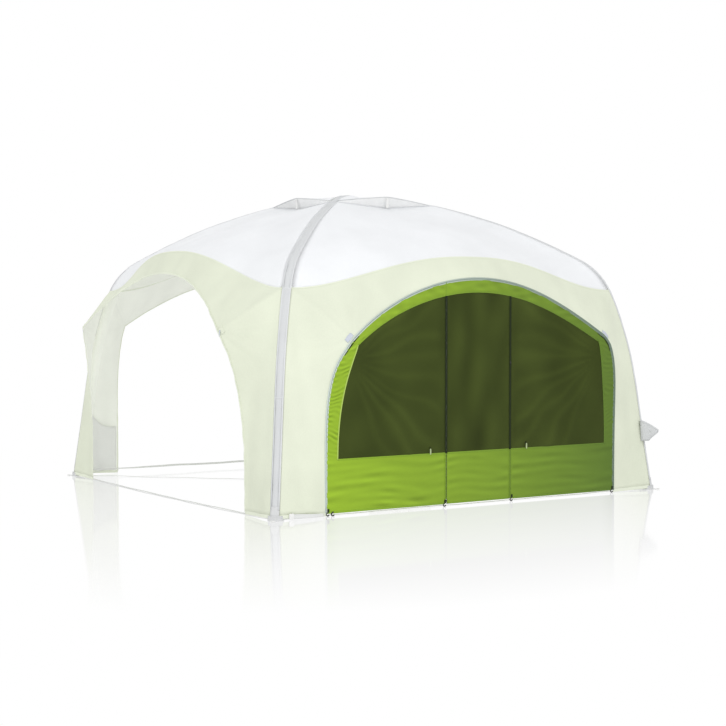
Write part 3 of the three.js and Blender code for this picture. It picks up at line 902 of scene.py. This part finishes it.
# ---------------------------------------------------------------- vents
def hood_grid(quarter, rows, columns):
    """A vent's hood, from the crossing of the arches to its free hem."""
    t = np.r_[np.linspace(CROWN_T, HOOD_T[0], 7)[:-1], np.linspace(*HOOD_T, rows)][:, None]
    s, d, z = arch_edge(t, HOOD_RISE)
    s = np.maximum(s, 0.003)
    u = np.linspace(-1, 1, columns)[None]
    v = np.maximum(t - HOOD_T[0], 0) / (HOOD_T[1] - HOOD_T[0])
    r = profile(t)[..., 0]
    left, right = ("a", "b") if quarter % 2 == 0 else ("b", "a")
    up = z + mix(lift(r, left), lift(r, right), (u + 1) / 2) + (HOOD_PEAK - z[-1, 0]) * v**2 * peak(u)
    return place(u * s, d + OVERHANG * v * peak(u), up, quarter)


def add_vents():
    for q, name in enumerate(SIDES):
        hood = hood_grid(q, 22, 41)
        cover = grids_mesh(f"vent_hood_cover_{name}", [hood], "roof", thickness=CLOTH)
        cloth(cover, 0.54, 0.93, "stretched", SLEEVES, f"vent_hood_{name}")
        hem = tape(f"vent_hood_hem_{name}", hood[-1], UP, 0.012, 0.003, "sleeve_tape")
        for piece in (cover, hem, add_vent_mesh(name, q, hood[-1])):
            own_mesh(piece)
        add_prop(name, q)


def add_vent_mesh(name, quarter, hem):
    edge = roof_grid(quarter, 2, 41)[0] + (0, 0, 0.002)
    v = np.linspace(0, 1, 7)[:, None, None]
    piece = grids_mesh(f"vent_netting_{name}", [mix(edge, hem - (0, 0, 0.004), v)], "vent", thickness=NET)
    return cloth(piece, 0.1, 0.95, "stretched", ["canopy_roof"], f"vent_mesh_{name}")


def add_prop(name, quarter):
    """Stiff strip that holds a hood open, with its pocket on the roof."""
    low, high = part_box(f"vent_prop_{name}")
    away, along = outwards(quarter), place(1.0, 0.0, 0.0, quarter)
    foot = place(0.0, arch_edge(VENT_T)[1] + 0.038, low.z, quarter)
    k = np.linspace(0, 1, 14)[:, None]
    path = foot + k * (high.z - low.z) * UP + 0.008 * k**2 * away
    width = 1 - 0.45 * np.exp(-k[:, 0] / 0.06) - 0.15 * k[:, 0]
    prop = sweep(f"vent_prop_strip_{name}", path, oval(0.028, 0.0045, 16, 0.6), "white", up=away, scale=width,
                 body=f"prop_{name}")
    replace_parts(prop, f"vent_prop_{name}")
    pocket = foot + np.outer(np.linspace(-0.026, 0.026, 7), along) - (0, 0, 0.003)
    tape(f"vent_prop_pocket_{name}", pocket, UP, 0.026, 0.004, "sleeve_tape")


# ---------------------------------------------------------------- mesh wall
def mesh_top(s):
    return mix(MESH_TOP, SHOULDER[1], (np.asarray(s) / SHOULDER[0]) ** 2)


def mesh_side(k):
    """Side edge of the mesh, from its foot at k = 0 to its shoulder at k = 1."""
    return mix(MESH_FOOT, SHOULDER[0], k**2.2), mix(SKIRT_TOP, SHOULDER[1], k)


def calm(s, z):
    """0 on the sewn lines of the mesh wall and 1 away from them, with more room beside the zips."""
    s = np.abs(s)
    arch = opening_arch(FRONT, s) - z
    leg = opening_leg(FRONT, np.clip(z, 0, FRONT["spring_z"])) - s
    skirt = np.abs(z - SKIRT_TOP) + np.maximum(s - MESH_FOOT, 0)
    side = np.abs(s - mesh_side(np.clip((z - SKIRT_TOP) / (SHOULDER[1] - SKIRT_TOP), 0, 1))[0])
    side = side + np.maximum(SKIRT_TOP - z, 0) + np.maximum(z - SHOULDER[1], 0)
    top = np.abs(z - mesh_top(s)) + np.maximum(s - SHOULDER[0], 0)
    return smooth(np.minimum.reduce([arch, leg, skirt, side, top]) / 0.016) * smooth(np.abs(s - ZIP_S) / 0.04)


def cloth_relief(s, z):
    """Wrinkles of the border and skirt, as a distance out."""
    p = joined(s, z)
    warp = 0.014 * ripple(p * (1.0, 0.5), 0.7, 41)
    waves = ripple(joined(s * 0.11, z + warp), 0.075, 42) * (0.45 + 0.4 * ripple(p, 0.5, 43) ** 2)
    slant = 0.8 * (1 - z / 0.9) * (np.abs(s) - 1.3)
    pucker = np.sin((z - slant) * 2 * math.pi / 0.036 + 1.9 * ripple(p, 0.2, 44))
    strip = smooth((z - SKIRT_TOP) / 0.06) * smooth((1.36 - z) / 0.12)
    out = smooth((SKIRT_TOP + 0.01 - z) / 0.06) * smooth((z - HEM) / 0.04) * 0.0028 * waves
    slack = np.where(s < 0, 0.006, 0.0022)
    out = out + strip * slack * pucker * (0.6 + 0.5 * ripple(p, 0.15, 45))
    return calm(s, z) * (out + smooth((z - 1.33) / 0.1) * 0.002 * ripple(p * (1, 2), 0.12, 46))


def netting_relief(s, z):
    """Pulled folds of the netting: fans from the shoulders, and upright ones in the door."""
    p = joined(s, z)
    side = smooth((np.abs(s) - ZIP_S) / 0.1)
    total = 0.3 * ripple(p, 0.35, 53) + (1 - side) * 0.6 * ripple(p * (1, 0.18), 0.16, 54)
    rng = np.random.default_rng(55)
    for _, hand in HANDS:
        along, down = SHOULDER[0] + 0.06 - hand * s, SHOULDER[1] - 0.12 - z
        angle = np.arctan2(down, along)
        for centre in np.radians((-38, -27, -12, 0, 13, 27, 39, 50, 62)):
            size, width = rng.uniform(0.5, 1.1), rng.uniform(0.035, 0.07)
            around = angle - centre - 0.05 * ripple(p, 0.6, int(rng.integers(1000)))
            fold = size * np.exp(-((around / width) ** 2)) * smooth(along / 0.2)
            total = total + side * (hand * s > 0) * fold
    return calm(s, z) * 0.0052 * total


def wall_outline():
    k = np.linspace(0, 1, 60)
    s, z = opening_offset(FRONT, k, -0.008)
    outer = np.vstack([joined(-s, z), joined(s, z)[::-1][1:]])
    rising = joined(*mesh_side(np.linspace(0, 1, 14)[:-1]))
    arch = np.linspace(SHOULDER[0], -SHOULDER[0], 61)
    top = joined(arch, mesh_top(arch))
    gap = ZIP_S + ZIP_GAP
    return np.vstack([outer, [(gap, HEM), (gap, SKIRT_TOP)], rising, top, rising[::-1] * (-1, 1),
                      [(-gap, SKIRT_TOP), (-gap, HEM)]])


def net_outline(low, high, hand=1):
    """Outline of a piece of netting between two places along the wall."""
    top = np.linspace(min(high, SHOULDER[0]), low, 31)
    side = [(high, SKIRT_TOP)] if high < SHOULDER[0] else joined(*mesh_side(np.linspace(0, 1, 14)[:-1]))
    return np.vstack([[(low, SKIRT_TOP)], side, joined(top, mesh_top(top))]) * (hand, 1)


def wall_cloth(name, outline, **options):
    return patch(name, outline, 0.009, cloth_relief, 38, "lime", **options)


def wall_net(name, outline, **options):
    return patch(name, outline, 0.02, netting_relief, 45, "mesh", NET, **options)


def add_mesh_wall():
    border = wall_cloth("mesh_wall_border", wall_outline())
    cloth(border, 1.1, 2.77, "stretched", ["canopy_walls"], "wall_frame")
    for name, hand in HANDS:
        net = wall_net(f"netting_{name}", net_outline(ZIP_S + ZIP_GAP, MESH_FOOT, hand))
        cloth(net, 0.98, 1.21, "stretched", ["mesh_wall_border"], f"mesh_{name}")
    edge = ZIP_S - 0.006
    net = wall_net("netting_door", net_outline(-edge, edge), body=None)
    cloth(net, 0.61, 1.24, "stretched", ["mesh_wall_border"], "door_mesh")
    outline = [(-edge, HEM), (edge, HEM), (edge, SKIRT_TOP), (-edge, SKIRT_TOP)]
    skirt = wall_cloth("door_skirt_cloth", outline, body=None)
    cloth(skirt, 0.61, 0.4, "stretched", ["mesh_wall_border"], "door_skirt")
    for piece in (net, skirt):
        hinge(piece)
    add_wall_tapes()


def hinge(piece):
    """Bakes the transform into the mesh of a piece of the door, which bends beside the right zip."""
    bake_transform(piece)


def flat_tape(name, s, z, width, slot, off=0.001, **options):
    """Tape on the mesh wall, through places s and z of the front."""
    s, z = np.broadcast_arrays(np.asarray(s, float), np.asarray(z, float))
    path = place(s, HALF + bulge(FRONT, s, z) + off, z)
    return tape(name, path, AHEAD, width, 0.0026, slot, **options)


def add_wall_tapes():
    """Binding between netting and cloth, and along the hem, with a narrow dark strip, tapered at both ends,
    where the wide zip turns.
    """
    top = np.linspace(-SHOULDER[0], SHOULDER[0], 81)
    flat_tape("netting_binding_top", top, mesh_top(top), 0.012, "lime_tape")
    bend = np.sin(np.linspace(0, math.pi, 22)) ** 0.6
    for name, hand in HANDS:
        s, z = mesh_side(np.linspace(0, 1, 40))
        # The left binding takes the lighter lime: a painted highlight.
        flat_tape(f"netting_binding_{name}", s * hand, z, 0.011, "lime_edge" if hand < 0 else "lime_tape")
        s, z = opening_offset(FRONT, np.linspace(0.455, 0.522, 22), -0.016)
        flat_tape(f"zip_corner_{name}", s * hand, z, 0.009, "dark_tape", off=0.0024, scale=0.25 + 0.75 * bend)
        s = np.linspace(ZIP_S + 0.01, MESH_FOOT, 50) * hand
        flat_tape(f"skirt_binding_{name}", s, SKIRT_TOP, 0.012, "lime_tape")
        s = np.linspace(ZIP_S + 0.01, FRONT["foot"] - 0.012, 60) * hand
        flat_tape(f"skirt_hem_{name}", s, HEM + 0.006, 0.016, "lime_tape")
    s = np.linspace(-ZIP_S + 0.012, ZIP_S - 0.012, 30)
    for name, z in (("binding", SKIRT_TOP), ("hem", HEM + 0.006)):
        hinge(flat_tape(f"door_skirt_{name}", s, z, 0.013, "lime_tape", body=None))
    z = np.linspace(mesh_top(ZIP_S) + 0.004, 1.72, 8)
    flat_tape("border_seam", -ZIP_S, z, 0.008, "lime_tape")


# ---------------------------------------------------------------- zips
def middle_of(node):
    """Middle x and y of a CAD node, and its lowest and highest z."""
    low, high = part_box(node)
    return (low.x + high.x) / 2, (low.y + high.y) / 2, low.z, high.z


def teeth(name, path, pitch, size, slot, body=ROOT, shift=0.0):
    """Row of zip teeth along a path: size is (across, along, out)."""
    line = points_at(path, np.arange(pitch / 2, lengths(path)[-1], pitch))
    tangent, across, above = frames(line, AHEAD)
    square = ((-0.5, -0.5), (0.5, -0.5), (0.5, 0.5), (-0.5, 0.5))
    corners = np.array([(*corner, z) for z in (-0.5, 0.5) for corner in square])
    corners[4:, :2] *= 0.6
    x, y, z = np.moveaxis(corners * size, -1, 0)[..., None]
    side = np.where(np.arange(len(line)) % 2, shift, -shift)[:, None, None]
    verts = line[:, None] + (x + side) * across[:, None] + y * tangent[:, None] + z * above[:, None]
    box = [(0, 3, 2, 1), (4, 5, 6, 7), (0, 1, 5, 4), (1, 2, 6, 5), (2, 3, 7, 6), (3, 0, 4, 7)]
    faces = [tuple(8 * i + k for k in f) for i in range(len(line)) for f in box]
    uvs = np.zeros((len(line) * 8, 2))
    return finish_mesh(name, verts.reshape(-1, 3), faces, slot, uvs, body=body, rounded=False)


def add_zips():
    s, z = opening_offset(FRONT, np.linspace(0, 1, 90), 0.0)
    s, z = np.concatenate([-s, s[::-1][1:]]), np.concatenate([z, z[::-1][1:]])
    path = place(s, HALF + bulge(FRONT, s, z), z)
    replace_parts(tape("arch_zip_tape", path, AHEAD, 0.024, 0.0025, "zip_tape"), "arch_zip")
    teeth("arch_zip_teeth", path + AHEAD * 0.0025, 0.005, (0.006, 0.0032, 0.003), "teeth", shift=0.001)
    add_door_zip("zip_left_fixed", -ZIP_S, -1, HEM + 0.004, ROOT)
    add_door_zip("zip_left_door", -ZIP_S, 1, 0.056, "door")
    add_door_zip("zip_right", ZIP_S, 0, HEM + 0.004, ROOT)
    for node, slot in (("door_slider", "plastic"), ("arch_slider", "steel")):
        x, y, _, top = middle_of(node)
        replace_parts(add_slider(node, x, y, top, slot, node + "_body"), node)
    add_slider("hinge_zip_slider", ZIP_S, -HALF - 0.0055, 1.1, "plastic", ROOT)


def add_door_zip(name, s, hand, low, body):
    """Upright zip beside the door: hand is the side of a half, or 0 for a whole zip."""
    top = float(mesh_top(ZIP_S)) - 0.004
    for part, slot, ends in (("", "dark_tape", (SKIRT_TOP, top)), ("_foot", "lime_tape", (low, SKIRT_TOP))):
        line = place(s + 0.0057 * hand, HALF + 0.0016, np.linspace(*ends, 40))
        strip = tape(f"{name}_tape{part}", line, AHEAD, 0.011 if hand else 0.018, 0.002, slot, body=body)
        if not part:
            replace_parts(strip, name)
    line = place(s + 0.0025 * hand, HALF + 0.003, np.linspace(low, top, 60))
    shift = 0 if hand else 0.001
    teeth(name + "_teeth", line, 0.0045, (0.004, 0.003, 0.0026), "dark_teeth", body=body, shift=shift)


def add_slider(name, x, y, top, slot, body):
    """Zip slider: shield, bridge and a pull. Its shield is returned."""
    path = np.array([(x, y + 0.0005, top - v) for v in np.linspace(0.0, 0.017, 9)])
    shield = sweep(f"{name}_shield", path, oval(0.0115, 0.004, 16, 0.7), slot, up=AHEAD,
                   scale=[0.6, 0.95, 1, 1, 0.9, 0.8, 0.74, 0.7, 0.5], body=body)
    angle = np.linspace(0, math.pi, 12)
    bridge = place(x, 0.0012 + 0.003 * np.sin(angle) - y, top - 0.008 + 0.005 * np.cos(angle))
    tube(f"{name}_bridge", bridge, 0.0009, slot, body=body)
    turn = np.linspace(0, 2 * math.pi, 29)
    pull = place(x + 0.0032 * np.sin(turn), 0.0028 - y, top - 0.0215 + 0.0105 * np.cos(turn))
    tube(f"{name}_pull", pull, 0.0009, slot, body=body)
    return shield


# ---------------------------------------------------------------- fittings
def add_tabs():
    """Webbing pads sewn where each arched opening turns its corner, each with a hanging loop."""
    drop = np.linspace(0, 0.05, 9)
    for q, name in enumerate(SIDES):
        for half, hand in HANDS:
            turn, sewn = np.linspace(0.486, 0.51, 9), np.linspace(0.03, 0.09, 9)
            grid = place(*wall_half(side_of(q), hand, turn, sewn), q)
            away = place(0.35 * hand, 1.0, 0.2, q)
            slot = "pad" if q == 0 else "wall"
            pad = grids_mesh(f"corner_pad_{name}_{half}", [grid + away * 0.002], slot, thickness=0.002)
            cloth(pad, *size_of(grid), "laid", ["canopy_walls"])
            path = grid[1, 4] + away * 0.003 - np.outer(drop, UP)
            path += np.outer(0.006 * np.sin(drop / 0.05 * math.pi), away)
            tape(f"corner_tab_{name}_{half}", path, away, 0.014, 0.002, "pad")


def add_ground():
    for q, name in enumerate(CORNERS):
        add_foot(name, q)
    reach = FOOT - 0.04
    for q, name in enumerate(SIDES):
        ends = place(np.array([-reach, reach]), FOOT, 0.0, q)
        lay_strap(f"ground_strap_{name}", CORNERS[q], ends, *STRAP_LIES[name])
    reach = FOOT - 0.03
    ends = np.array([(-reach, reach, 0), (reach, -reach, 0)])
    lay_strap("ground_strap_cross", "front_right", ends, 0.0, 0.0)


def strap(name, path, face, width, thickness, held, rests, **options):
    """Webbing as wide as it is sewn, along its path."""
    piece = tape(name, path, face, width, thickness, "webbing", **options)
    round(float(lengths(path)[-1]), 3)
    return piece


def lay_strap(node, corner, ends, sag, lift):
    """Strap between two feet. A slack one bows inwards by sag; a taut one rises by lift, on its edge."""
    k = np.linspace(0, 1, 80)[:, None]
    inward = -(ends[0] + ends[1]) / 2
    inward = inward / max(np.linalg.norm(inward), 1e-6)
    path = mix(ends[0], ends[1], k) + inward * sag * 4 * k * (1 - k) + (0, 0, 0.0022)
    k = k[:, 0]
    path[:, 2] += 0.0016 * (1 + ripple(path[:, :2], 0.4, 61)) * smooth(k * 12) * smooth((1 - k) * 12)
    ramps = np.minimum(smooth(k * 14), smooth((1 - k) * 14))
    path[:, 2] += lift * ramps * (1 - 0.12 * np.sin(k * math.pi))
    turned = (14 * lift * smooth(4 * k) * smooth(4 * (1 - k)))[:, None]
    face = np.hstack([turned * inward[:2], 1 - 0.4 * turned])
    piece = strap(f"{node}_webbing", path, face, WEBBING, 0.0018, "stretched", f"foot_disc_{corner}")
    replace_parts(piece, node)


def add_strap_tail():
    """Doubled end of the front strap, standing on its edge, with its ladder buckle."""
    k = np.linspace(0, 1, 24)
    path = mix(np.array((-1.69, -1.846, 0)), np.array((-1.412, -1.832, 0)), k[:, None])
    path = path + np.outer(0.004 * np.sin(k * 7), (0, 1, 0))
    path[:, 2] = mix(0.021, 0.0125, k)
    strap("strap_tail", path, (0, -1.0, 0.1), 0.038, 0.007, "laid", "floor", scale=mix(1.0, 0.6, k))
    line = np.array([(-1.714 + v, -1.849, 0.024) for v in np.linspace(0, 0.04, 7)])
    sweep("strap_buckle", line, oval(0.046, 0.014, 16, 0.5), "white", up=AHEAD,
          scale=[0.7, 0.95, 1, 0.82, 1, 0.95, 0.7])


def add_foot(name, quarter, count=40):
    """Boot around the end of a leg, on a disc with a webbing tongue and a peg ring."""
    way, side = leg_heading(quarter)
    c = profile(np.linspace(LAST, LAST - 0.16, 9))
    path = c[:, :1] * way + np.outer(c[:, 1], UP)
    tube(f"leg_boot_{name}", path, SLEEVE_R + 0.004, "boot", 28, scale=[0.97, 1, 1, 1, 1, 1, 1, 0.995, 0.97])
    base = way * PROFILE[-1][0]
    angle = turns(count)
    disc = 0.06 * joined(np.cos(angle), np.sin(angle))
    levels = [(0.97, 0.0), (1, 0.001), (1, 0.005), (0.97, 0.0062), (0.95, 0.034)]
    verts = np.vstack([base + k * disc @ np.array([way, side]) + z * UP for k, z in levels])
    faces = tube_faces(len(levels), count)
    pad = finish_mesh(f"foot_disc_{name}", verts, faces, "boot", np.tile(disc, (len(levels), 1)))
    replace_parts(pad, f"foot_pad_{name}")
    tongue = base + way * np.linspace(0.05, 0.098, 14)[:, None] + (0, 0, 0.003)
    tape(f"peg_tongue_{name}", tongue, UP, WEBBING, 0.003, "webbing")
    turn = np.linspace(0, 2 * math.pi, 33)[:, None]
    ring = base + way * (0.096 + 0.013 * np.cos(turn)) + side * 0.017 * np.sin(turn) + (0, 0, 0.0042)
    tube(f"peg_ring_{name}", ring, 0.002, "white")


def add_hem_webbing():
    """Tapes along the foot of each wall leg, held out by the hem, and the pockets above them."""
    for q, name in enumerate(SIDES):
        for half, hand in HANDS:
            path = place(*wall_half(side_of(q), hand, [0.0], np.linspace(0, 1, 16)), q)[:, 0]
            path = path - (0, 0, 0.006)
            tape(f"leg_hem_{name}_{half}", path, outwards(q), 0.024, 0.003, "seam")
            if q:
                add_pocket(f"leg_pocket_{name}_{half}", q, hand)


def add_pocket(name, quarter, hand):
    """Low pocket inside a wall leg of an open side."""
    s, d, z = wall_half(OPEN, hand, np.linspace(0.004, 0.15, 16), np.linspace(0.06, 0.94, 15))
    bow = np.sin(np.linspace(0, math.pi, 15))[:, None]
    pouch = 0.01 + 0.012 * bow * smooth(np.linspace(0, 1, 16) / 0.5)[None]
    grid = place(s, d - pouch, HEM + (z - HEM) * (1 - 0.12 * bow), quarter)
    cloth(grids_mesh(name, [grid], "pocket", thickness=CLOTH), 0.42, 0.42, "hung", ["canopy_walls"])


def add_toggles():
    at = np.linspace(0, 1, 15)
    width = 0.62 + 0.38 * np.sin(math.pi * at) ** 0.5 - 0.12 * np.exp(-(((at - 0.5) / 0.12) ** 2))
    for name, _ in HANDS:
        x, y, low, high = middle_of(f"toggle_{name}")
        line = place(x, -y, mix(high, low, at))
        body = f"toggle_{name}_body"
        barrel = tube(f"toggle_barrel_{name}", line, 0.0062, "pale", 16, scale=width, body=body)
        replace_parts(barrel, f"toggle_{name}")
        loop = [(0, -0.004), (0, 0.004), (0.003, 0.011), (0.009, 0.012), (0.0125, 0.004), (0.0128, -0.01)]
        loop = np.array([(x, y + back, high + up) for back, up in loop])
        tape(f"toggle_loop_{name}", loop, (0, 0.7, 0.9), 0.006, 0.0025, "dark_tape")


def add_hooks():
    r = 0.0115
    angle = np.linspace(math.pi * 0.5, math.pi * 1.95, 18)
    for i in range(1, 5):
        x, y = middle_of(f"hem_hook_{i}")[:2]
        stem = [(x + 0.004, y, 0.034), (x + 0.001, y, 0.027)]
        hook = np.vstack([stem, place(x + r * np.cos(angle), -y, 0.003 + r + r * np.sin(angle))])
        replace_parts(tube(f"hook_{i}", hook, 0.0045, "plastic"), f"hem_hook_{i}")
        if i == 1:
            tube("hook_1_twin", hook + (0.04, -0.004, -0.001), 0.005, "plastic")
        strap = np.array([(x + 0.004, y - 0.003, 0.017 + v) for v in (0.012, 0.018, 0.026, 0.036)])
        tape(f"hook_tab_{i}", strap, AHEAD, 0.016, 0.0024, "dark_tape")


def add_valves():
    """Valve hood, boss and cap on the outer face of each arch's right leg."""
    for arch in "ba":
        way, side = heading(AZIMUTH[arch])
        add_valve_hood(arch, way, side)
        for part in ("boss", "cap"):
            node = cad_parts[f"valve_{part}_{arch}"]
            node.data.materials.clear()
            node.data.materials.append(M["white"])
        centre = (VALVE_OUT + 0.016) * way + VALVE_Z * UP
        for k, angle in enumerate(turns(12)):
            spoke = centre + 0.0168 * (math.cos(angle) * side + math.sin(angle) * UP)
            line = spoke + np.outer((-0.0035, 0.0035), way)
            tube(f"valve_grip_{arch}_{k + 1}", line, 0.0012, "plastic", body=f"cap_{arch}")


def add_valve_hood(arch, way, side):
    """Flap over a valve, seen from the side as points (outwards, up) from the valve, and its two cheeks."""
    hood = np.array([(-0.034, 0.108), (0.016, 0.087), (0.06, 0.063), (0.1, 0.038), (0.118, 0.023),
                     (0.106, 0.008), (0.074, -0.018), (0.05, -0.04), (0.034, -0.06)])
    sleeve = [f"arch_sleeve_{arch}"]

    def spot(out, along, up):
        return (VALVE_OUT + out) * way + along * side + (VALVE_Z + up) * UP

    sag = 0.006 * np.sin(np.linspace(0, math.pi, 13))
    across = list(zip(np.linspace(0.064, -0.064, 13), sag))
    grid = np.array([[spot(x + 0.3 * g, w, z - g) for w, g in across] for x, z in hood])
    cover = grids_mesh(f"valve_flap_{arch}", [grid], "sleeve", thickness=0.002)
    smoother = cover.modifiers.new("round", "SUBSURF")
    smoother.levels = smoother.render_levels = 2
    cloth(cover, 0.13, 0.26, "hung", sleeve, f"valve_hood_{arch}")
    rim = np.vstack([hood, [(-0.026, -0.062)]])
    for hand, w in (("left", 0.062), ("right", -0.062)):
        cheek = np.array([[spot(x, w * (1 + 0.1 * k), z) for x, z in mix(rim, rim.mean(0), k)]
                          for k in (0, 0.35, 0.7, 0.98)])
        cheek = np.concatenate([cheek, cheek[:, :1]], 1)
        gusset = grids_mesh(f"valve_gusset_{arch}_{hand}", [cheek], "sleeve", thickness=0.0016)
        cloth(gusset, 0.12, 0.15, "hung", sleeve)


add_camera()
add_stage()
add_canopy()
add_seams()
add_arches()
add_vents()
add_mesh_wall()
add_zips()
add_tabs()
add_ground()
add_strap_tail()
add_hem_webbing()
add_toggles()
add_hooks()
add_valves()
